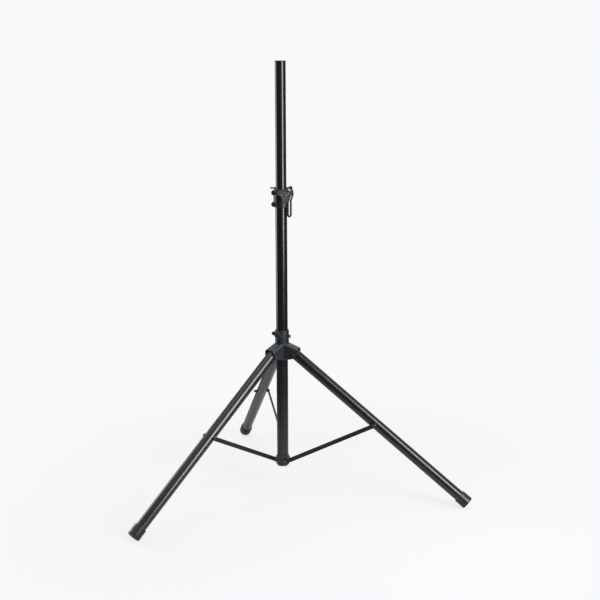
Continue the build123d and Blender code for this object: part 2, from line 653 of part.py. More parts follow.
# ---- legs ----
LEG_PLUG_DEPTH = 26.0       # plug in the tube, beyond the hinge
STUD_R = 3.0
SPACER_R = 6.5
NUT_BASE_R = 6.0
NUT_TIP_R = 3.8
NUT_REACH = 29.0            # cap nut's end, from the leg's axis
NUT_ROUND = 1.5             # cap nut's dome
FOOT_LEAD = 1.0             # chamfer of the foot's mouth
NUT_ROOF = 3.0              # cap nut's wall over the stud's end
SADDLE_DEPTH = 5.0          # a saddle piece's overlap with the leg's round, before it is cut


def across_leg(shape, along, start):
    """Lay a standing shape across the leg, towards the brace's side, from start to start + its height."""
    return LEG_PLANE * Pos(start, 0, along) * Rot(0, 90, 0) * shape


def leg_tube():
    length = LEG_REACH - FOOT_END_WALL + LEG_TAIL
    tube = LEG_PLANE * Pos(0, 0, -LEG_TAIL) * pipe(LEG_R, LEG_BORE_R, length)
    tube -= across_leg(rod(HINGE_BOLT_R + PIVOT_CLEAR, 4 * LEG_R), 0, -2 * LEG_R)
    tube -= across_leg(rod(STUD_R + FIT_CLEAR, 4 * LEG_R), BRACE_POINT, -2 * LEG_R)
    return tube


def leg_plug():
    """Moulded plug with a round end, which carries the hinge."""
    stem = LEG_PLANE * Pos(0, 0, -SWING_R) * rod(LEG_BORE_R - FIT_CLEAR, SWING_R + LEG_PLUG_DEPTH)
    ball = Pos(HINGE_R, 0, HINGE_Z) * Sphere(SWING_R - FIT_CLEAR)
    reach = LEG_PLANE * rod(LEG_R, 2 * LEG_PLUG_DEPTH)
    body = stem & (ball + reach)
    return body - across_leg(rod(HINGE_BOLT_R + PIVOT_CLEAR, 4 * LEG_R), 0, -2 * LEG_R)


def foot_cap():
    cap = rod(FOOT_R, FOOT_LENGTH)
    cap = fillet(cap.edges().group_by(Axis.Z)[-1], FOOT_RIM)
    cap = chamfer(cap.edges().group_by(Axis.Z)[0], FOOT_LEAD)
    cap -= rod(LEG_R + FIT_CLEAR, FOOT_LENGTH - FOOT_END_WALL)
    return LEG_PLANE * Pos(0, 0, LEG_REACH - FOOT_LENGTH) * cap


def leg_solid():
    return LEG_PLANE * rod(LEG_R + FIT_CLEAR, LEG_REACH)


def brace_stud():
    return across_leg(rod(STUD_R, NUT_REACH - NUT_ROOF + LUG_FACE), BRACE_POINT, NUT_ROOF - NUT_REACH)


def brace_spacer():
    """Saddle washer between the leg and the brace."""
    body = rod(SPACER_R, LUG_FACE - LEG_R + SADDLE_DEPTH)
    body -= rod(STUD_R + FIT_CLEAR, LUG_FACE)
    return across_leg(body, BRACE_POINT, LEG_R - SADDLE_DEPTH) - leg_solid()


def brace_nut():
    """Domed cap nut on the leg's other side."""
    body = Cone(NUT_TIP_R, NUT_BASE_R, NUT_REACH - LEG_R + SADDLE_DEPTH, align=LOW)
    body = fillet(body.edges().group_by(Axis.Z)[0], NUT_ROUND)
    body -= Pos(0, 0, NUT_ROOF) * rod(STUD_R + FIT_CLEAR, NUT_REACH)
    return across_leg(body, BRACE_POINT, -NUT_REACH) - leg_solid()


# ---- braces ----
def brace_strap():
    """Flat bar with round ends, beside the leg."""
    rise = BRACE_TOP_Z - BRACE_FOOT_Z
    run = BRACE_TOP_R - BRACE_FOOT_R
    bar = Rectangle(BRACE_LENGTH, STRAP_WIDTH)
    for end in (-1, 1):
        bar += Pos(end * BRACE_LENGTH / 2, 0) * Circle(STRAP_WIDTH / 2)
    bar = extrude(bar, STRAP_THICK)
    for end, radius in ((-1, RIVET_R + PIVOT_CLEAR), (1, RIVET_R + FIT_CLEAR)):
        bar -= Pos(end * BRACE_LENGTH / 2, 0, 0) * rod(radius, STRAP_THICK)
    place = Plane(
        origin=((BRACE_FOOT_R + BRACE_TOP_R) / 2, -STRAP_INNER, (BRACE_FOOT_Z + BRACE_TOP_Z) / 2),
        x_dir=(run, 0, rise),
        z_dir=(0, -1, 0),
    )
    return place * bar


def brace_rivet():
    """Rivet in the strap's upper end, flush inside and domed outside."""
    shank = along_y(rod(RIVET_R, STRAP_THICK), BRACE_TOP_R, -STRAP_OUTER, BRACE_TOP_Z)
    head = along_y(rod(RIVET_HEAD_R, RIVET_HEAD), BRACE_TOP_R, -STRAP_OUTER - RIVET_HEAD, BRACE_TOP_Z)
    head = chamfer(head.edges().group_by(Axis.Y)[0], RIVET_EDGE)
    return shank + head


# ---- write every node ----
os.makedirs("parts", exist_ok=True)

save("outer_tube", column_tube())
save("column_plug", Pos(0, 0, COLUMN_BOTTOM_Z) * plug(COLUMN_BORE_R, COLUMN_R, PLUG_FLANGE, PLUG_DEPTH))
save("base_bracket", base_bracket())
save("base_rivets", *each_leg(base_rivet))

save("inner_tube", mast_tube())
save("mast_cap", mast_cap())
save("mast_bush", mast_bush())

save("clamp_housing", clamp_housing())
save("clamp_liner", clamp_liner())
save("clamp_pad", clamp_pad())
save("clamp_insert", clamp_insert())
save("clamp_screw", clamp_screw())
save("clamp_knob", clamp_knob())
save("clamp_bolts", *[ear_bolt(z) for z in EAR_Z])
save("clamp_nuts", *[ear_nut(z) for z in EAR_Z])
save("lock_pin", lock_pin())
save("pin_grip", pin_grip())

save("hub_body", hub_body())
save("hub_liner", hub_liner())
save("hub_side_screw", hub_side_screw())
save("hub_hinge_bolts", *each_leg(hinge_bolt))
save("hub_hinge_nuts", *each_leg(hinge_nut))
save("hub_pad", hub_pad())
save("hub_insert", hub_insert())
save("hub_lock_screw", hub_screw())
save("hub_lock_wing", hub_wing())

LEG_PIECES = {
    "leg_tube": leg_tube,
    "leg_plug": leg_plug,
    "foot_cap": foot_cap,
    "brace_stud": brace_stud,
    "brace_spacer": brace_spacer,
    "brace_nut": brace_nut,
    "brace_strap": brace_strap,
    "brace_rivet": brace_rivet,
}
for side, azimuth in LEG_AZIMUTHS.items():
    for piece, build in LEG_PIECES.items():
        save(f"{side}_{piece}", turned(build(), azimuth))
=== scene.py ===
"""Finishes, moulded detail, floor, light and camera of a tripod loudspeaker stand."""

import json
import logging
import math
from dataclasses import dataclass, field
from enum import Enum
from typing import Mapping, Sequence

import bmesh
import bpy
from mathutils import Matrix, Vector


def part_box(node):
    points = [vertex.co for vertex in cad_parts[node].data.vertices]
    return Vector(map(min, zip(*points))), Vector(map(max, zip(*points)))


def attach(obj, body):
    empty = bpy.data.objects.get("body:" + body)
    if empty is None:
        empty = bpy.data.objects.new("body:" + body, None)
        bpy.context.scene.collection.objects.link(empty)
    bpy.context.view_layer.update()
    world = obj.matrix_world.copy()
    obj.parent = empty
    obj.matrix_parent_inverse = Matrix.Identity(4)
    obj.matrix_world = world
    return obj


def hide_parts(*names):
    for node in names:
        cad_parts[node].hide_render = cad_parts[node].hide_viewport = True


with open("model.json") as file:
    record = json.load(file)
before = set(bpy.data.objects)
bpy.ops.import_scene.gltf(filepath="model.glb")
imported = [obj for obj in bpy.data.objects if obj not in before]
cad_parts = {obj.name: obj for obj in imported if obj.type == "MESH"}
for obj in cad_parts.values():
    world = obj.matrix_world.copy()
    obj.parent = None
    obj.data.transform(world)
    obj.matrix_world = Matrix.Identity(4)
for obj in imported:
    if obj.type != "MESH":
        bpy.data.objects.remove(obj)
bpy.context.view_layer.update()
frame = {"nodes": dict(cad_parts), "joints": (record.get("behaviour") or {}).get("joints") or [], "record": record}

log = logging.getLogger("speaker_stand")

Colour = tuple[float, float, float, float]
Point = tuple[float, float, float]
Profile = Sequence[tuple[float, float]]
Socket = bpy.types.NodeSocket
Input = float | Colour | Point | Socket

UP = Vector((0.0, 0.0, 1.0))
STAGE_TURN = math.radians(-14.26)
SHARP_ANGLE = math.radians(34.0)
LEG_SIDES = ("back", "left", "right")

ON_AXIS = 1e-6
BAR_LEAN = 0.25
NEAR_TIP = 0.95

COOL_BLACK = (0.82, 1.0, 1.18)
PAINT_BLACK = (0.92, 1.0, 1.10)
PALE_ZINC = (0.97, 1.0, 1.03)
WARM_PAD = (1.0, 0.9, 0.8)


def shade(value: float, tint: Point = (1.0, 1.0, 1.0)) -> Colour:
    """Give a linear colour of one lightness.

    Args:
        value: Lightness, linear.
        tint: Multiplier for red, green and blue.

    Returns:
        The colour with full alpha.
    """
    return (value * tint[0], value * tint[1], value * tint[2], 1.0)


DUST_COLOUR = shade(0.22, (1.0, 0.98, 0.94))
DUST_MATT = 0.4
GRAIN_MATT = 0.04
SCRATCH_DEPTH = 0.6


# ---------------------------------------------------------------- node trees
@dataclass
class Graph:
    """A node tree while it is wired up."""

    tree: bpy.types.NodeTree

    def add(
        self, kind: str, inputs: Mapping[str | int, Input] | None = None, **settings: object
    ) -> bpy.types.Node:
        """Add a node.

        Args:
            kind: Node type without its "ShaderNode" prefix.
            inputs: Socket name or number to a value or an output socket.
            **settings: Properties of the node itself.

        Returns:
            The new node.
        """
        node = self.tree.nodes.new("ShaderNode" + kind)
        for name, value in settings.items():
            setattr(node, name, value)
        for name, value in (inputs or {}).items():
            if isinstance(value, Socket):
                self.tree.links.new(value, node.inputs[name])
            else:
                node.inputs[name].default_value = value
        return node

    def math(self, operation: str, *values: Input) -> Socket:
        """Add a Math node and return its output."""
        return self.add("Math", dict(enumerate(values)), operation=operation).outputs[0]

    def mix(self, factor: Input, first: Input, second: Input) -> Socket:
        """Mix two colours and return the result."""
        node = self.add("Mix", {0: factor, 6: first, 7: second}, data_type="RGBA")
        return node.outputs[2]

    def spread(
        self, value: Input, low: float, high: float, to_low: float = 0.0, to_high: float = 1.0
    ) -> Socket:
        """Map a value from one range to another, clamped, and return the output."""
        sockets = {0: value, 1: low, 2: high, 3: to_low, 4: to_high}
        return self.add("MapRange", sockets, clamp=True).outputs[0]

    def noise(self, vector: Input, scale: Input, detail: float = 3.0) -> Socket:
        """Add a noise texture and return its value."""
        sockets = {"Vector": vector, "Scale": scale, "Detail": detail}
        return self.add("TexNoise", sockets).outputs[0]

    def group(self, tree: bpy.types.NodeTree, **inputs: float) -> bpy.types.Node:
        """Place a shared effect with its own values.

        Args:
            tree: The effect's group.
            **inputs: Names and values of the sockets that differ from its defaults.

        Returns:
            The group's node.
        """
        node = self.tree.nodes.new("ShaderNodeGroup")
        node.node_tree = tree
        for name, value in inputs.items():
            node.inputs[name].default_value = value
        return node


class Effect(Enum):
    """Effects that several finishes share, each one a node group."""

    GRAIN = "Surface grain"
    HANDLING = "Handling marks"
    EDGE = "Edge wear"
    DUST = "Settled dust"


class EffectLibrary:
    """Builds every shared effect once and hands out its group."""

    def __init__(self) -> None:
        """Build the groups."""
        self.trees: dict[Effect, bpy.types.NodeTree] = {
            Effect.GRAIN: self._grain(),
            Effect.HANDLING: self._handling(),
            Effect.EDGE: self._edge(),
            Effect.DUST: self._dust(),
        }

    @staticmethod
    def _open(effect: Effect, inputs: Mapping[str, float], outputs: Sequence[str]) -> Graph:
        """Start a group with float sockets.

        Args:
            effect: The effect that names the group.
            inputs: Socket names and default values.
            outputs: Names of the values it puts out.

        Returns:
            The group's graph, without links to its output yet.
        """
        tree = bpy.data.node_groups.new(effect.value, "ShaderNodeTree")
        for name, value in inputs.items():
            socket = tree.interface.new_socket(name, in_out="INPUT", socket_type="NodeSocketFloat")
            socket.default_value = value
        for name in outputs:
            tree.interface.new_socket(name, in_out="OUTPUT", socket_type="NodeSocketFloat")
        return Graph(tree)

    @staticmethod
    def _close(graph: Graph, *values: Socket) -> bpy.types.NodeTree:
        """Wire the group's outputs.

        Args:
            graph: The group's graph.
            *values: What it puts out, in the order of its outputs.

        Returns:
            The finished group.
        """
        end = graph.tree.nodes.new("NodeGroupOutput")
        for index, value in enumerate(values):
            graph.tree.links.new(value, end.inputs[index])
        return graph.tree

    def _grain(self) -> bpy.types.NodeTree:
        """Cells of the surface's own texture, as a height and a tone.

        Returns:
            The group, which puts out Height and Tone.
        """
        graph = self._open(Effect.GRAIN, {"Fineness": 900.0, "Pits": 0.3}, ("Height", "Tone"))
        start = graph.tree.nodes.new("NodeGroupInput")
        where = graph.add("TexCoord").outputs["Object"]
        cells = graph.noise(where, start.outputs["Fineness"], 2.0)
        fine = graph.math("MULTIPLY", start.outputs["Fineness"], 3.1)
        pits = graph.add("TexVoronoi", {"Vector": where, "Scale": fine}).outputs["Distance"]
        pitted = graph.math("MULTIPLY", pits, start.outputs["Pits"])
        height = graph.math("ADD", cells, pitted)
        broad = graph.noise(where, 38.0, 4.0)
        clouds = graph.math("MULTIPLY", broad, 0.7)
        tone = graph.math("ADD", clouds, graph.math("MULTIPLY", cells, 0.3))
        return self._close(graph, height, graph.spread(tone, 0.35, 0.65))

    def _handling(self) -> bpy.types.NodeTree:
        """Smears and hair scratches that hands and other stands leave.

        Returns:
            The group, which puts out Smear and Scratch.
        """
        graph = self._open(Effect.HANDLING, {"Smears": 14.0, "Scratches": 0.5}, ("Smear", "Scratch"))
        start = graph.tree.nodes.new("NodeGroupInput")
        where = graph.add("TexCoord").outputs["Object"]
        cloud = graph.noise(where, start.outputs["Smears"], 5.0)
        smear = graph.spread(cloud, 0.45, 0.68)
        hair_width = 0.0035
        lines = []
        for angles, along in (((0.3, 0.1, 0.9), 0.06), ((1.2, 0.7, 0.2), 0.09)):
            sockets = {"Vector": where, "Rotation": angles, "Scale": (1.0, 1.0, along)}
            turned = graph.add("Mapping", sockets)
            drift = graph.noise(turned.outputs[0], 55.0, 1.0)
            ridge = graph.math("ABSOLUTE", graph.math("SUBTRACT", drift, 0.5))
            lines.append(graph.spread(ridge, 0.0, hair_width, 1.0, 0.0))
        both = graph.math("MAXIMUM", *lines)
        handled = graph.spread(graph.noise(where, 11.0, 2.0), 0.56, 0.72)
        patchy = graph.math("MULTIPLY", both, handled)
        return self._close(graph, smear, graph.math("MULTIPLY", patchy, start.outputs["Scratches"]))

    def _edge(self) -> bpy.types.NodeTree:
        """Rubbed corners, from how far a rounded normal leans off the true one.

        Returns:
            The group, which puts out Mask.
        """
        graph = self._open(Effect.EDGE, {"Reach": 0.0008, "Patches": 140.0}, ("Mask",))
        start = graph.tree.nodes.new("NodeGroupInput")
        rounded = graph.add("Bevel", {"Radius": start.outputs["Reach"]}, samples=4).outputs[0]
        true = graph.add("NewGeometry").outputs["Normal"]
        lean = graph.add("VectorMath", {0: rounded, 1: true}, operation="DOT_PRODUCT")
        alike = lean.outputs["Value"]
        where = graph.add("TexCoord").outputs["Object"]
        patches = graph.noise(where, start.outputs["Patches"], 4.0)
        broken = graph.spread(patches, 0.38, 0.62, 0.15, 1.0)
        edge = graph.spread(alike, 0.99, 0.82, 0.0, 1.0)
        return self._close(graph, graph.math("MULTIPLY", edge, broken))

    def _dust(self) -> bpy.types.NodeTree:
        """Fine dust on faces that look up.

        Returns:
            The group, which puts out Mask.
        """
        graph = self._open(Effect.DUST, {"Amount": 0.2, "Clumps": 260.0}, ("Mask",))
        start = graph.tree.nodes.new("NodeGroupInput")
        geometry = graph.add("NewGeometry")
        lift = graph.add("SeparateXYZ", {0: geometry.outputs["Normal"]}).outputs["Z"]
        facing = graph.spread(lift, 0.2, 1.0)
        where = graph.add("TexCoord").outputs["Object"]
        specks = graph.spread(graph.noise(where, start.outputs["Clumps"], 6.0), 0.42, 0.7)
        mask = graph.math("MULTIPLY", facing, specks)
        return self._close(graph, graph.math("MULTIPLY", mask, start.outputs["Amount"]))


@dataclass(frozen=True)
class Finish:
    """One surface finish, with what its real counterpart shows.

    Attributes:
        slot: Material slot in the record.
        colour: Main colour.
        second: Colour of its broad variation.
        worn: Colour on rubbed edges and in scratches.
        roughness: Roughness where it is clean.
        smeared: Roughness where it was handled.
        fineness: Grain cells per metre, about.
        pits: Share of pits in the grain.
        depth: Height of the grain in metres.
        edge: Width of the worn band along an edge in metres.
        wear: Strength of the worn colour.
        dust: Strength of the dust.
        scratches: Strength of the scratches.
        metallic: 1 for bare metal.
        specular: Strength of the dielectric reflection.
        lay: Scale of the tool marks along x, y and z, or None.
    """

    slot: str
    colour: Colour
    second: Colour
    worn: Colour
    roughness: float
    smeared: float
    fineness: float = 900.0
    pits: float = 0.3
    depth: float = 0.00002
    edge: float = 0.0007
    wear: float = 0.35
    dust: float = 0.12
    scratches: float = 0.4
    metallic: float = 0.0
    specular: float = 0.5
    lay: Point | None = None

    def material(self, effects: EffectLibrary) -> bpy.types.Material:
        """Build the node material.

        Args:
            effects: The shared effects.

        Returns:
            The finished material.
        """
        made = bpy.data.materials.new(self.slot)
        made.use_nodes = True
        made.node_tree.nodes.clear()
        graph = Graph(made.node_tree)
        grain = graph.group(effects.trees[Effect.GRAIN], Fineness=self.fineness, Pits=self.pits)
        hands = graph.group(effects.trees[Effect.HANDLING], Scratches=self.scratches)
        edge = graph.group(effects.trees[Effect.EDGE], Reach=self.edge)
        dust = graph.group(effects.trees[Effect.DUST], Amount=self.dust)

        colour = graph.mix(grain.outputs["Tone"], self.colour, self.second)
        rubbed = graph.math("MULTIPLY", edge.outputs["Mask"], self.wear)
        scraped = graph.math("MULTIPLY", hands.outputs["Scratch"], self.wear)
        colour = graph.mix(graph.math("MAXIMUM", rubbed, scraped), colour, self.worn)
        colour = graph.mix(dust.outputs["Mask"], colour, DUST_COLOUR)

        rough = graph.spread(hands.outputs["Smear"], 0.0, 1.0, self.roughness, self.smeared)
        rough = graph.math("ADD", rough, graph.math("MULTIPLY", dust.outputs["Mask"], DUST_MATT))
        rough = graph.math("ADD", rough, graph.math("MULTIPLY", grain.outputs["Tone"], GRAIN_MATT))

        height = grain.outputs["Height"]
        if self.lay:
            where = graph.add("TexCoord").outputs["Object"]
            mapped = graph.add("Mapping", {"Vector": where, "Scale": self.lay}).outputs[0]
            height = graph.math("ADD", height, graph.noise(mapped, 1.0, 4.0))
        cut = graph.math("MULTIPLY", hands.outputs["Scratch"], SCRATCH_DEPTH)
        height = graph.math("SUBTRACT", height, cut)
        bump = graph.add("Bump", {"Strength": 1.0, "Distance": self.depth, "Height": height})
        shader = graph.add(
            "BsdfPrincipled",
            {
                "Base Color": colour,
                "Roughness": rough,
                "Metallic": self.metallic,
                "Specular IOR Level": self.specular,
                "Normal": bump.outputs[0],
            },
        )
        graph.add("OutputMaterial", {"Surface": shader.outputs[0]})
        return made


FINISHES: tuple[Finish, ...] = (
    Finish(
        "gloss_black_paint", shade(0.0080, PAINT_BLACK), shade(0.0116, PAINT_BLACK), shade(0.10),
        roughness=0.19, smeared=0.23, fineness=420.0, pits=0.05, depth=0.000004,
        wear=0.22, dust=0.03, scratches=0.35, edge=0.0005,
    ),
    Finish(
        "moulded_black", shade(0.012, COOL_BLACK), shade(0.018, COOL_BLACK), shade(0.10),
        roughness=0.40, smeared=0.52, fineness=1900.0, pits=0.8, depth=0.00006, wear=0.4, dust=0.10,
    ),
    Finish(
        "knob_black", shade(0.012, COOL_BLACK), shade(0.018, COOL_BLACK), shade(0.13),
        roughness=0.38, smeared=0.48, fineness=2100.0, pits=0.9, depth=0.00007, wear=0.5, dust=0.10,
    ),
    Finish(
        "foot_rubber", shade(0.006), shade(0.010), shade(0.05),
        roughness=0.30, smeared=0.42, fineness=1500.0, pits=0.6, depth=0.00005,
        wear=0.45, dust=0.18, scratches=0.6,
    ),
    Finish(
        "strap_paint", shade(0.0065), shade(0.0100), shade(0.14),
        roughness=0.32, smeared=0.42, fineness=1000.0, pits=0.2, depth=0.000016, wear=0.4, dust=0.08,
        specular=0.32,
    ),
    Finish(
        "black_fastener", shade(0.018), shade(0.028), shade(0.25),
        roughness=0.36, smeared=0.46, fineness=1800.0, depth=0.00001, wear=0.5,
        lay=(900.0, 900.0, 900.0),
    ),
    Finish(
        "pin_steel", shade(0.010), shade(0.016), shade(0.30),
        roughness=0.25, smeared=0.36, fineness=1400.0, depth=0.000012, metallic=0.2, wear=0.6,
        lay=(4000.0, 200.0, 200.0),
    ),
    Finish(
        "grip_rubber", shade(0.016), shade(0.024), shade(0.08),
        roughness=0.42, smeared=0.52, fineness=1900.0, pits=0.5, depth=0.00003, dust=0.14,
    ),
    Finish(
        "nylon", shade(0.020), shade(0.030), shade(0.10),
        roughness=0.36, smeared=0.46, fineness=1200.0, depth=0.00002,
    ),
    Finish(
        "brass_insert", (0.60, 0.42, 0.16, 1.0), (0.50, 0.34, 0.12, 1.0), (0.75, 0.58, 0.28, 1.0),
        roughness=0.24, smeared=0.34, fineness=1600.0, depth=0.00001, metallic=1.0,
        lay=(300.0, 2600.0, 300.0),
    ),
    Finish(
        "zinc_screw", shade(0.42, PALE_ZINC), shade(0.34, PALE_ZINC), shade(0.6),
        roughness=0.28, smeared=0.40, fineness=1300.0, depth=0.00001, metallic=1.0,
        lay=(300.0, 3000.0, 300.0),
    ),
    Finish(
        "brake_pad", shade(0.045, WARM_PAD), shade(0.06, WARM_PAD), shade(0.1),
        roughness=0.7, smeared=0.8, fineness=1400.0, pits=1.0, depth=0.00006,
    ),
)


@dataclass
class Workshop:
    """Materials by slot, and the way that pieces and CAD nodes get them."""

    effects: EffectLibrary = field(default_factory=EffectLibrary)
    materials: dict[str, bpy.types.Material] = field(default_factory=dict)

    def __post_init__(self) -> None:
        """Build every finish."""
        for finish in FINISHES:
            self.materials[finish.slot] = finish.material(self.effects)

    def dress(self, piece: bpy.types.Object, slot: str) -> None:
        """Give a piece one finish in all its material slots."""
        piece.data.materials.clear()
        piece.data.materials.append(self.materials[slot])

    def dress_nodes(self) -> None:
        """Give every CAD node the finish that the record names."""
        for part in frame["record"]["subparts"]:
            self.dress(frame["nodes"][part["node"]], part["material_slot"])

    def fit(self, piece: bpy.types.Object, body: str, slot: str) -> None:
        """Finish a new piece and set it on its body.

        Args:
            piece: The new piece, in place.
            body: The body that it rides on.
            slot: Its material slot.
        """
        self.dress(piece, slot)
        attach(piece, body)
        log.info("%s rides on %s as %s", piece.name, body, slot)


# ---------------------------------------------------------------- mesh helpers
def frame_along(axis: Vector, origin: Vector, lead: Vector | None = None) -> Matrix:
    """Give a matrix whose Z is an axis.

    Args:
        axis: Direction of the local Z.
        origin: Local origin.
        lead: Direction that the local X is nearest to.

    Returns:
        The local-to-stand matrix.
    """
    z = axis.normalized()
    guide = lead or (Vector((1.0, 0.0, 0.0)) if abs(z.x) < 0.9 else UP)
    x = (guide - z * guide.dot(z)).normalized()
    y = z.cross(x)
    turn = Matrix((x, y, z)).transposed().to_4x4()
    return Matrix.Translation(origin) @ turn


def new_piece(name: str, bm: bmesh.types.BMesh, place: Matrix) -> bpy.types.Object:
    """Turn a bmesh into a smooth-shaded object with its place in its mesh.

    Args:
        name: Object name.
        bm: The mesh, in local coordinates; it is freed.
        place: Local-to-stand matrix.

    Returns:
        The linked object.
    """
    bm.transform(place)
    bmesh.ops.recalc_face_normals(bm, faces=bm.faces)
    mesh = bpy.data.meshes.new(name)
    bm.to_mesh(mesh)
    bm.free()
    for polygon in mesh.polygons:
        polygon.use_smooth = True
    mesh.set_sharp_from_angle(angle=SHARP_ANGLE)
    piece = bpy.data.objects.new(name, mesh)
    bpy.context.scene.collection.objects.link(piece)
    return piece


def turned_piece(name: str, profile: Profile, place: Matrix, steps: int) -> bpy.types.Object:
    """Revolve a profile round the local Z.

    Args:
        name: Object name.
        profile: Points as radius and height.
        place: Local-to-stand matrix.
        steps: Number of segments.

    Returns:
        The new object.
    """
    bm = bmesh.new()
    rings = []
    for radius, height in profile:
        if radius < ON_AXIS:
            rings.append([bm.verts.new((0.0, 0.0, height))])
            continue
        ring = []
        for step in range(steps):
            angle = math.tau * step / steps
            ring.append(bm.verts.new((radius * math.cos(angle), radius * math.sin(angle), height)))
        rings.append(ring)
    for first, second in zip(rings, rings[1:]):
        for step in range(steps):
            after = (step + 1) % steps
            corners = [first[step % len(first)], first[after % len(first)]]
            corners += [second[after % len(second)], second[step % len(second)]]
            unique = list(dict.fromkeys(corners))
            if len(unique) > 2:
                bm.faces.new(unique)
    return new_piece(name, bm, place)


def skinned_piece(name: str, rings: Sequence[Sequence[Vector]], place: Matrix) -> bpy.types.Object:
    """Join a stack of closed rings with equal point counts into one skin with closed ends.

    Args:
        name: Object name.
        rings: Rings from one end to the other, in local coordinates.
        place: Local-to-stand matrix.

    Returns:
        The new object.
    """
    bm = bmesh.new()
    made = [[bm.verts.new(point) for point in ring] for ring in rings]
    count = len(made[0])
    for first, second in zip(made, made[1:]):
        for step in range(count):
            after = (step + 1) % count
            bm.faces.new((first[step], first[after], second[after], second[step]))
    for ring in (made[0], made[-1]):
        middle = bm.verts.new(sum((vertex.co for vertex in ring), Vector()) / count)
        for step in range(count):
            bm.faces.new((ring[step], ring[(step + 1) % count], middle))
    return new_piece(name, bm, place)


def bar_piece(name: str, centre: Vector, half: Vector, place: Matrix) -> bpy.types.Object:
    """Make a bar with chamfered upper edges.

    Args:
        name: Object name.
        centre: Its centre, in local coordinates.
        half: Half its size in x, y and z.
        place: Local-to-stand matrix.

    Returns:
        The new object.
    """
    rings = []
    lean = half.y * BAR_LEAN
    for height, inset in ((-half.z, 0.0), (half.z - lean, 0.0), (half.z, lean)):
        ring = []
        for x, y in ((-1, -1), (1, -1), (1, 1), (-1, 1)):
            corner = Vector((x * (half.x - inset), y * (half.y - inset), height))
            ring.append(centre + corner)
        rings.append(ring)
    return skinned_piece(name, rings, place)


# ---------------------------------------------------------------- sub-assemblies
@dataclass(frozen=True)
class Reach:
    """How far a CAD node goes along an axis and away from it, in metres."""

    start: float
    end: float
    radius: float


def joint(name: str) -> dict:
    """Find a joint of the record."""
    return next(entry for entry in frame["joints"] if entry["name"] == name)


def spokes(node: str, origin: Vector, axis: Vector) -> list[tuple[float, Vector]]:
    """Split a CAD node's points into height along an axis and offset from it.

    Args:
        node: The CAD node.
        origin: A point on the axis.
        axis: Direction of the axis, of length 1.

    Returns:
        A height and a radial offset for each point.
    """
    split = []
    for vertex in frame["nodes"][node].data.vertices:
        offset = vertex.co - origin
        height = offset.dot(axis)
        split.append((height, offset - axis * height))
    return split


def measure(node: str, origin: Vector, axis: Vector) -> Reach:
    """Measure a CAD node against an axis.

    Args:
        node: The CAD node.
        origin: A point on the axis.
        axis: Direction of the axis, of length 1.

    Returns:
        Its lowest and highest place on the axis, and its radius.
    """
    split = spokes(node, origin, axis)
    heights = [height for height, _ in split]
    return Reach(min(heights), max(heights), max(offset.length for _, offset in split))


def lobe_direction(node: str, origin: Vector, axis: Vector) -> Vector:
    """Give the direction of one lobe's tip, from the points that are farthest out.

    Args:
        node: The CAD node with the lobes.
        origin: A point on its axis.
        axis: Direction of its axis, of length 1.

    Returns:
        A direction of length 1, square to the axis.
    """
    offsets = [offset for _, offset in spokes(node, origin, axis)]
    longest = max(offsets, key=lambda offset: offset.length)
    close = [offset for offset in offsets if offset.dot(longest) > NEAR_TIP * longest.length_squared]
    return sum(close, Vector()).normalized()


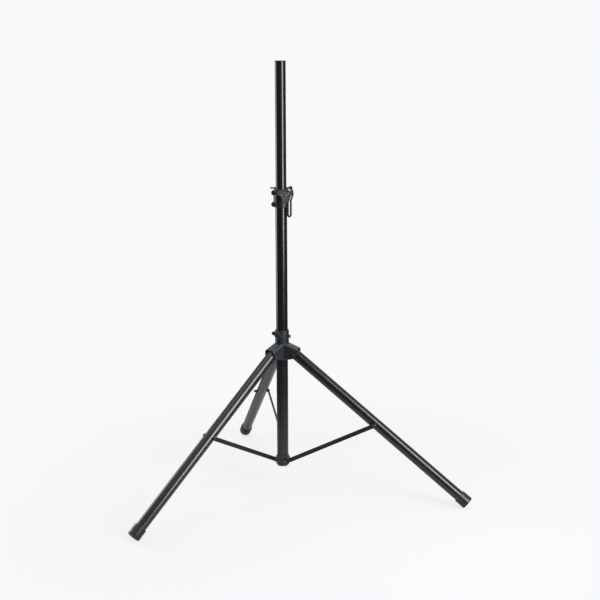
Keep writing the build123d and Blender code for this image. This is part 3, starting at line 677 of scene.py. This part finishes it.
@dataclass
class HandKnob:
    """A moulded hand knob with lobes, a dished face and a centre cap.

    Attributes:
        node: CAD node that the moulding stands for.
        turn: Joint that it turns on.
        lobes: Number of lobes.
        lobe: Radius of a lobe's end, in metres.
        valley: Radius between two lobes.
        stem: Radius of the neck behind the lobes.
        stem_length: Length of the neck.
        edge: Rounding of the outer edges.
        rim: Width of the raised rim round the face.
        dish: Depth of the face inside its rim.
        cap: Radius of the centre cap.
        cap_gap: Gap between the cap and the face.
        cap_seat: How far the cap reaches in below the face.
        neck_break: Chamfer at the open end of the neck.
        neck_flare: Widening of the neck where it meets the lobes.
        rim_break: Width of the slope over the rim's inner edge.
        rim_foot: Width of the slope at the foot of the rim.
        smoothing: Times that the outline's corners are evened out.
        steps: Points round one outline.
    """

    node: str
    turn: str
    lobes: int
    lobe: float
    valley: float
    stem: float
    stem_length: float
    edge: float = 0.0022
    rim: float = 0.0024
    dish: float = 0.0012
    cap: float = 0.0052
    cap_gap: float = 0.0003
    cap_seat: float = 0.0008
    neck_break: float = 0.0006
    neck_flare: float = 0.0008
    rim_break: float = 0.0006
    rim_foot: float = 0.0004
    smoothing: int = 3
    steps: int = 180

    def outline(self, tip: float, inset: float, height: float) -> list[Vector]:
        """Give the lobed outline at one height.

        Args:
            tip: Radius at a lobe's tip, before the inset.
            inset: Distance that the outline is pulled in.
            height: Height along the axis.

        Returns:
            The points, in local coordinates.
        """
        pitch = tip - self.lobe
        radii = []
        for step in range(self.steps):
            off = math.remainder(math.tau * step * self.lobes / self.steps, math.tau) / self.lobes
            side = pitch * math.sin(off)
            lobe = self.lobe - inset
            reach = pitch * math.cos(off) + math.sqrt(lobe**2 - side**2) if abs(side) < lobe else 0.0
            radii.append(max(reach, self.valley - inset))
        for _ in range(self.smoothing):
            after = radii[1:] + radii[:1]
            radii = [(radii[i - 1] + radii[i] + after[i]) / 3 for i in range(self.steps)]
        return self.ring(radii, height)

    def ring(self, radii: Sequence[float], height: float) -> list[Vector]:
        """Place one radius for each step round the axis.

        Args:
            radii: The radii in order.
            height: Height along the axis.

        Returns:
            The points, in local coordinates.
        """
        points = []
        for step, radius in enumerate(radii):
            angle = math.tau * step / self.steps
            points.append(Vector((radius * math.cos(angle), radius * math.sin(angle), height)))
        return points

    def circle(self, radius: float, height: float) -> list[Vector]:
        """Give a round outline with the same number of points."""
        return self.ring([radius] * self.steps, height)

    def rings(self, reach: Reach) -> list[list[Vector]]:
        """Give the skin's rings from the back of the neck to the dished face.

        Args:
            reach: The CAD node's measures on its own axis.

        Returns:
            The rings in order.
        """
        back = reach.start + self.stem_length
        top = reach.end
        skin = [
            self.circle(self.stem - self.neck_break, reach.start),
            self.circle(self.stem, reach.start + self.neck_break),
            self.circle(self.stem, back - self.neck_flare),
            self.circle(self.stem + self.neck_flare, back),
        ]
        quarter = [math.radians(angle) for angle in (90.0, 60.0, 30.0, 0.0)]
        for angle in quarter:
            inset = self.edge * (1 - math.cos(angle))
            skin.append(self.outline(reach.radius, inset, back + self.edge * (1 - math.sin(angle))))
        for angle in reversed(quarter):
            inset = self.edge * (1 - math.cos(angle))
            skin.append(self.outline(reach.radius, inset, top - self.edge * (1 - math.sin(angle))))
        face = self.edge + self.rim
        skin.append(self.outline(reach.radius, face - self.rim_break, top))
        skin.append(self.outline(reach.radius, face, top - self.dish * 0.3))
        skin.append(self.outline(reach.radius, face + self.rim_foot, top - self.dish))
        skin.append(self.circle(self.cap + self.cap_gap, top - self.dish))
        return skin

    def build(self, shop: Workshop) -> None:
        """Build the moulding and its cap.

        Args:
            shop: The workshop that finishes them.
        """
        hinge = joint(self.turn)
        axis = Vector(hinge["axis"]).normalized()
        origin = Vector(hinge["pos_m"])
        reach = measure(self.node, origin, axis)
        place = frame_along(axis, origin, lobe_direction(self.node, origin, axis))
        knob = skinned_piece(f"{self.node}_moulding", self.rings(reach), place)
        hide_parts(self.node)
        shop.fit(knob, hinge["child"], "knob_black")
        shop.fit(self.centre(reach.end, place), hinge["child"], "black_fastener")

    def centre(self, top: float, place: Matrix) -> bpy.types.Object:
        """Build the domed cap in the middle of the face.

        Args:
            top: Height of the face's rim.
            place: Local-to-stand matrix of the knob.

        Returns:
            The cap.
        """
        low = top - self.dish - self.cap_seat
        crown = 0.0001
        profile = [(0.0, low), (self.cap, low), (self.cap, top - self.dish * 0.6)]
        profile += [(self.cap * 0.94, top - self.dish * 0.35)]
        profile += [(self.cap * 0.6, top - crown), (0.0, top)]
        return turned_piece(f"{self.node}_cap", profile, place, 48)


@dataclass
class FootCap:
    """A ribbed rubber foot with a treaded sole.

    Attributes:
        side: Name of its leg.
        round_edge: Rounding of the sole's edge, in metres.
        lip: Chamfer of its mouth.
        mouth: How far the skin goes into the mouth.
        grooves: Places of the grip grooves, back from the sole.
        groove: Depth of a groove.
        groove_mouth: Half width of a groove at the surface.
        groove_floor: Half width of a groove at its floor.
        treads: Outer and inner radius of each ring cut in the sole.
        tread: Depth of the sole's rings.
        tread_slope: Lean of the walls of those rings.
    """

    side: str
    round_edge: float = 0.0015
    lip: float = 0.0010
    mouth: float = 0.004
    grooves: tuple[float, ...] = (0.0275, 0.0215, 0.0155)
    groove: float = 0.0007
    groove_mouth: float = 0.0011
    groove_floor: float = 0.0006
    treads: Profile = ((0.0168, 0.0142), (0.0116, 0.0090), (0.0064, 0.0038))
    tread: float = 0.0012
    tread_slope: float = 0.0005

    def profile(self, length: float, radius: float, bore: float) -> list[tuple[float, float]]:
        """Give the turned profile, from the mouth round to the sole's middle.

        Args:
            length: Length of the cap.
            radius: Outer radius.
            bore: Radius inside, round the tube.

        Returns:
            Points as radius and height, with the sole at zero.
        """
        inner_lip = self.lip * 0.5
        floor = radius - self.groove
        points = [(bore, -length + self.mouth), (bore, -length + inner_lip)]
        points += [(bore + inner_lip, -length)]
        points += [(radius - self.lip, -length), (radius, -length + self.lip)]
        for back in self.grooves:
            points += [(radius, -back - self.groove_mouth), (floor, -back - self.groove_floor)]
            points += [(floor, -back + self.groove_floor), (radius, -back + self.groove_mouth)]
        for angle in (0.0, 22.5, 45.0, 67.5, 90.0):
            turn = math.radians(angle)
            out = radius - self.round_edge * (1 - math.cos(turn))
            points.append((out, -self.round_edge * (1 - math.sin(turn))))
        for outer, inner in self.treads:
            points += [(outer, 0.0), (outer - self.tread_slope, -self.tread)]
            points += [(inner + self.tread_slope, -self.tread), (inner, 0.0)]
        return points + [(0.0, 0.0)]

    def build(self, shop: Workshop) -> None:
        """Build the foot on the end of its leg.

        Args:
            shop: The workshop that finishes it.
        """
        origin = Vector(joint(f"leg_{self.side}_fold")["pos_m"])
        low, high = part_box(f"{self.side}_leg_tube")
        axis = ((low + high) / 2 - origin).normalized()
        node = f"{self.side}_foot_cap"
        cap = measure(node, origin, axis)
        tube = measure(f"{self.side}_leg_tube", origin, axis)
        place = frame_along(axis, origin + axis * cap.end, UP)
        points = self.profile(cap.end - cap.start, cap.radius, tube.radius)
        foot = turned_piece(f"{node}_moulding", points, place, 96)
        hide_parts(node)
        shop.fit(foot, f"leg_{self.side}", "foot_rubber")


@dataclass
class ScrewHead:
    """A domed screw head with a cross recess.

    Attributes:
        node: CAD node with the screw.
        outward: Direction that the head faces.
        recess: Half length of the cross.
        slot: Half width of an arm of the cross.
        depth: Depth of the recess.
        draft: How much narrower the recess is at its floor.
        dome: Shares of the head's radius and how far each lies below its top.
        steps: Points round the head.
    """

    node: str
    outward: Vector
    recess: float = 0.0029
    slot: float = 0.0006
    depth: float = 0.0013
    draft: float = 0.0002
    dome: Profile = ((1.0, 0.0016), (0.93, 0.0008), (0.80, 0.0003), (0.66, 0.0))
    steps: int = 96

    def cross(self, grow: float, height: float) -> list[Vector]:
        """Give the cross's outline as one ring with a point for each step.

        Args:
            grow: How much larger it is than the recess at the surface.
            height: Height along the axis.

        Returns:
            The points, in local coordinates.
        """
        points = []
        long, short = self.recess + grow, self.slot + grow
        for step in range(self.steps):
            angle = math.tau * (step + 0.5) / self.steps
            x, y = abs(math.cos(angle)), abs(math.sin(angle))
            reach = min(long / max(x, y), short / min(x, y))
            points.append(Vector((reach * math.cos(angle), reach * math.sin(angle), height)))
        return points

    def circle(self, radius: float, height: float) -> list[Vector]:
        """Give a round ring with a point for each step."""
        turns = [math.tau * (step + 0.5) / self.steps for step in range(self.steps)]
        return [Vector((radius * math.cos(a), radius * math.sin(a), height)) for a in turns]

    def build(self, shop: Workshop, body: str, slot: str) -> None:
        """Build the head and its shank in one skin.

        Args:
            shop: The workshop that finishes it.
            body: The body that it rides on.
            slot: Its material slot.
        """
        low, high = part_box(self.node)
        middle = (low + high) / 2
        axis = self.outward.normalized()
        reach = measure(self.node, middle, axis)
        top, radius = reach.end, reach.radius
        clear_of_axis = 0.0005
        split = spokes(self.node, middle, axis)
        shank = min(offset.length for _, offset in split if offset.length > clear_of_axis)
        under = min(height for height, offset in split if offset.length > 0.95 * radius)
        rings = [
            self.circle(shank, reach.start),
            self.circle(shank, under),
            self.circle(radius, under),
        ]
        rings += [self.circle(radius * share, top - below) for share, below in self.dome]
        rings += [self.cross(0.0, top), self.cross(-self.draft, top - self.depth)]
        head = skinned_piece(f"{self.node}_crossed", rings, frame_along(axis, middle, UP))
        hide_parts(self.node)
        shop.fit(head, body, slot)


@dataclass
class MastCap:
    """The plug on top of the mast, with a dished top and moulded ribs.

    Attributes:
        dish: Depth of the dish inside the rim, in metres.
        rim: Width of the rim.
        ribs: Number of ribs in the dish.
        rib_width: Width of a rib.
        rib_lift: How far a rib's middle lies above the floor of the dish.
        boss: Radius of the middle.
        wall_gap: How much thinner the plug is than the flange on it.
        plug_break: Chamfer at the foot of the plug.
        slope: Lean of the rim's inner wall.
        boss_slope: Lean of the middle's wall.
        crown: How far the middle stays below the rim.
    """

    dish: float = 0.0014
    rim: float = 0.0024
    ribs: int = 6
    rib_width: float = 0.0016
    rib_lift: float = 0.00025
    boss: float = 0.0042
    wall_gap: float = 0.0018
    plug_break: float = 0.0006
    slope: float = 0.0005
    boss_slope: float = 0.0004
    crown: float = 0.0001

    def build(self, shop: Workshop) -> None:
        """Build the cap's shell and its ribs.

        Args:
            shop: The workshop that finishes them.
        """
        low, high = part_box("mast_cap")
        centre = (low + high) / 2
        place = Matrix.Translation((centre.x, centre.y, 0.0))
        outer = (high.x - low.x) / 2
        inside = outer - self.rim
        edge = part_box("inner_tube")[1].z
        wall = outer - self.wall_gap
        floor = high.z - self.dish
        profile = [(0.0, low.z), (wall - self.plug_break, low.z), (wall, low.z + self.plug_break)]
        profile += [(wall, edge), (outer, edge)]
        for back, down in ((0.0, 0.0012), (0.0004, 0.0004), (0.0012, 0.0)):
            profile.append((outer - back, high.z - down))
        profile += [(inside, high.z), (inside - self.slope, floor)]
        profile += [(self.boss + self.boss_slope, floor), (self.boss, high.z - 0.0003)]
        profile += [(self.boss - 0.0008, high.z - self.crown), (0.0, high.z - self.crown)]
        shell = turned_piece("mast_cap_moulding", profile, place, 96)
        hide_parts("mast_cap")
        shop.fit(shell, "mast", "nylon")
        for index in range(self.ribs):
            spoke = Matrix.Rotation(math.tau * index / self.ribs, 4, "Z")
            start, end = self.boss - 0.0006, inside + 0.0004
            middle = Vector(((start + end) / 2, 0.0, floor + self.rib_lift))
            size = Vector(((end - start) / 2, self.rib_width / 2, self.dish / 2))
            rib = bar_piece(f"mast_cap_rib_{index + 1}", middle, size, place @ spoke)
            shop.fit(rib, "mast", "nylon")


@dataclass
class Studio:
    """Pale floor, soft lights, surroundings and the camera.

    Attributes:
        backdrop: Colour of the floor and background.
        eye: Camera position before the stage is turned, in metres.
        aim_pitch: Angle of the camera below the horizon, in degrees.
        roll: Roll of the camera, in degrees.
        field_of_view: Angle of the square view, in degrees.
        lift: Share of plain backdrop in the floor as the eye sees it.
        lamp_tone: Colour of the lamps.
        floor_radius: Radius of the floor disc.
        floor_drop: How far the floor lies below the feet.
        fade: Distances at which the floor starts and ends its fade.
    """

    backdrop: Colour = (0.9387, 0.9473, 0.9647, 1.0)
    eye: Point = (0.0597, -3.877, 1.4625)
    aim_pitch: float = 11.75
    roll: float = -0.20
    field_of_view: float = 27.87
    lift: float = 0.8
    lamp_tone: Point = (0.985, 1.0, 1.02)
    floor_radius: float = 9.0
    floor_drop: float = 0.0002
    fade: tuple[float, float] = (0.55, 1.25)

    @staticmethod
    def staged(x: float, y: float, z: float) -> Vector:
        """Turn a point of the stage to the stand's frame."""
        return Matrix.Rotation(STAGE_TURN, 3, "Z") @ Vector((x, y, z))

    def camera(self) -> None:
        """Make the camera."""
        data = bpy.data.cameras.new("camera")
        data.sensor_fit = "HORIZONTAL"
        data.sensor_width = 36.0
        data.lens = data.sensor_width / 2 / math.tan(math.radians(self.field_of_view) / 2)
        data.clip_start = 0.05
        data.clip_end = 100.0
        eye = bpy.data.objects.new("camera", data)
        bpy.context.scene.collection.objects.link(eye)
        tilt = Matrix.Rotation(math.radians(90 - self.aim_pitch), 4, "X")
        turn = Matrix.Rotation(STAGE_TURN, 4, "Z") @ tilt
        turn = turn @ Matrix.Rotation(math.radians(self.roll), 4, "Z")
        eye.matrix_world = Matrix.Translation(self.staged(*self.eye)) @ turn
        bpy.context.scene.camera = eye

    def floor(self) -> None:
        """Make the floor disc, which fades into the background."""
        bm = bmesh.new()
        bmesh.ops.create_circle(bm, cap_ends=True, radius=self.floor_radius, segments=96)
        place = Matrix.Translation((0.0, 0.0, -self.floor_drop))
        disc = new_piece("floor", bm, place)
        made = bpy.data.materials.new("studio_floor")
        made.use_nodes = True
        made.node_tree.nodes.clear()
        graph = Graph(made.node_tree)
        where = graph.add("TexCoord").outputs["Object"]
        distance = graph.add("VectorMath", {0: where}, operation="LENGTH").outputs["Value"]
        paper = graph.noise(where, 220.0, 3.0)
        tone = graph.spread(paper, 0.3, 0.7, 0.0, 1.0)
        colour = graph.mix(tone, (0.665, 0.671, 0.683, 1.0), (0.675, 0.681, 0.694, 1.0))
        matt = graph.add("BsdfDiffuse", {"Color": colour})
        seen = graph.add("LightPath").outputs["Is Camera Ray"]
        plain = graph.add("Emission", {"Color": self.backdrop})
        dark = graph.add("Emission", {"Color": shade(0.03)})
        lifted = graph.math("MULTIPLY", seen, self.lift)
        near = graph.add("MixShader", {0: lifted, 1: matt.outputs[0], 2: plain.outputs[0]})
        far = graph.add("MixShader", {0: seen, 1: dark.outputs[0], 2: plain.outputs[0]})
        edge = graph.spread(distance, *self.fade)
        both = graph.add("MixShader", {0: edge, 1: near.outputs[0], 2: far.outputs[0]})
        graph.add("OutputMaterial", {"Surface": both.outputs[0]})
        disc.data.materials.append(made)

    def surroundings(self) -> None:
        """Make the world: pale to the eye, and a lit studio in reflections."""
        world = bpy.data.worlds.new("studio")
        bpy.context.scene.world = world
        world.use_nodes = True
        world.node_tree.nodes.clear()
        graph = Graph(world.node_tree)
        where = graph.add("TexCoord").outputs["Generated"]
        turn = {"Vector": where, "Angle": -STAGE_TURN}
        turned = graph.add("VectorRotate", turn, rotation_type="Z_AXIS")
        axes = graph.add("SeparateXYZ", {0: turned.outputs[0]}).outputs
        behind = graph.spread(axes["Y"], 0.55, 0.85, 0.0, 0.85)
        overhead = graph.spread(axes["Z"], 0.35, 0.9, 0.0, 0.6)
        light = graph.math("ADD", graph.math("MAXIMUM", behind, overhead), 0.05)
        glow = graph.add("CombineColor", {0: light, 1: light, 2: light})
        studio = graph.add("Background", {"Color": glow.outputs[0]})
        plain = graph.add("Background", {"Color": self.backdrop})
        seen = graph.add("LightPath").outputs["Is Camera Ray"]
        both = graph.add("MixShader", {0: seen, 1: studio.outputs[0], 2: plain.outputs[0]})
        graph.add("OutputWorld", {"Surface": both.outputs[0]})

    def softbox(
        self, name: str, at: Point, aim: Point, size: tuple[float, float], power: float
    ) -> None:
        """Add one area light.

        Args:
            name: Its name.
            at: Place on the stage, before the stage is turned.
            aim: Point that it faces.
            size: Width and height in metres.
            power: Power in watts.
        """
        data = bpy.data.lights.new(name, "AREA")
        data.shape = "RECTANGLE"
        data.size, data.size_y = size
        data.energy = power
        data.color = self.lamp_tone
        lamp = bpy.data.objects.new(name, data)
        bpy.context.scene.collection.objects.link(lamp)
        spot = self.staged(*at)
        facing = (self.staged(*aim) - spot).normalized()
        lamp.matrix_world = frame_along(-facing, spot, UP.cross(-facing))
        lamp.visible_camera = False

    def lights(self) -> None:
        """Set up the lamps."""
        self.softbox("right_strip", (1.55, -1.55, 1.35), (0.0, 0.0, 1.0), (0.85, 1.9), 62.0)
        self.softbox("left_wall", (-2.3, 0.9, 1.0), (0.0, 0.0, 0.8), (1.4, 2.0), 38.0)
        self.softbox("overhead", (0.0, 0.3, 3.4), (0.0, 0.0, 0.0), (3.2, 3.2), 40.0)

    def build(self) -> None:
        """Build all of it."""
        self.camera()
        self.floor()
        self.surroundings()
        self.lights()
        view = bpy.context.scene.view_settings
        view.view_transform = "Standard"
        view.look = "None"


def main() -> None:
    """Build the looks in order."""
    logging.basicConfig(level=logging.INFO, format="%(message)s")
    shop = Workshop()
    Studio().build()
    shop.dress_nodes()
    knob = HandKnob(
        "clamp_knob", "clamp_turn", lobes=3, lobe=0.009, valley=0.0142, stem=0.009, stem_length=0.007
    )
    knob.build(shop)
    wing = HandKnob(
        "hub_lock_wing", "hub_turn", lobes=2, lobe=0.0065, valley=0.0085, stem=0.006, stem_length=0.003,
        edge=0.0016, rim=0.0014,
    )
    wing.build(shop)
    for side in LEG_SIDES:
        FootCap(side).build(shop)
    MastCap().build(shop)
    low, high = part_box("hub_side_screw")
    outward = Vector(((low.x + high.x) / 2, (low.y + high.y) / 2, 0.0))
    ScrewHead("hub_side_screw", outward).build(shop, "hub", "black_fastener")


if __name__ == "__main__":
    main()
